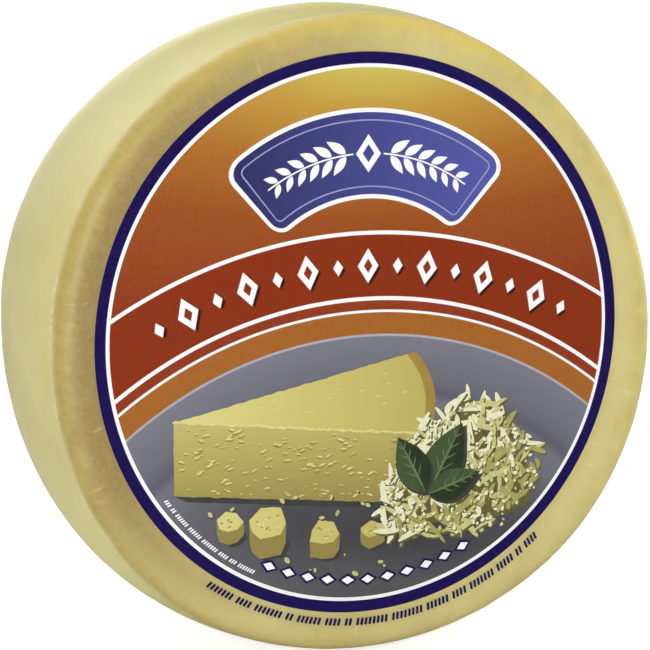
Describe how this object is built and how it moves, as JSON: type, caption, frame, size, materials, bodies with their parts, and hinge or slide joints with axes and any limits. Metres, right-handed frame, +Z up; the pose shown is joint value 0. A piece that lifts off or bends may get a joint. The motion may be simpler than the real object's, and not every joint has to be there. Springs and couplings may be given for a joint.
{
  "type": "parmesan cheese wheel",
  "caption": "Whole round parmesan wheel in skin-tight clear film, with a round printed label on its dished front face, standing on its rim.",
  "frame": {"origin": "middle of the footprint, on the surface that the wheel stands on", "axes": "+Z up; the wheel's axis lies along Y and the label faces -Y; +X is to the right of a viewer who faces the label"},
  "size_m": [0.2508, 0.091, 0.2472],
  "materials": {
    "film_wrapped_cheese": "satin pale yellow cheese under clear shrink film",
    "printed_label": "glossy printed film in orange, grey, blue and pale yellow"
  },
  "bodies": {
    "root": {"cheese_wheel": "film_wrapped_cheese", "face_label": "printed_label"}
  },
  "joints": []
}
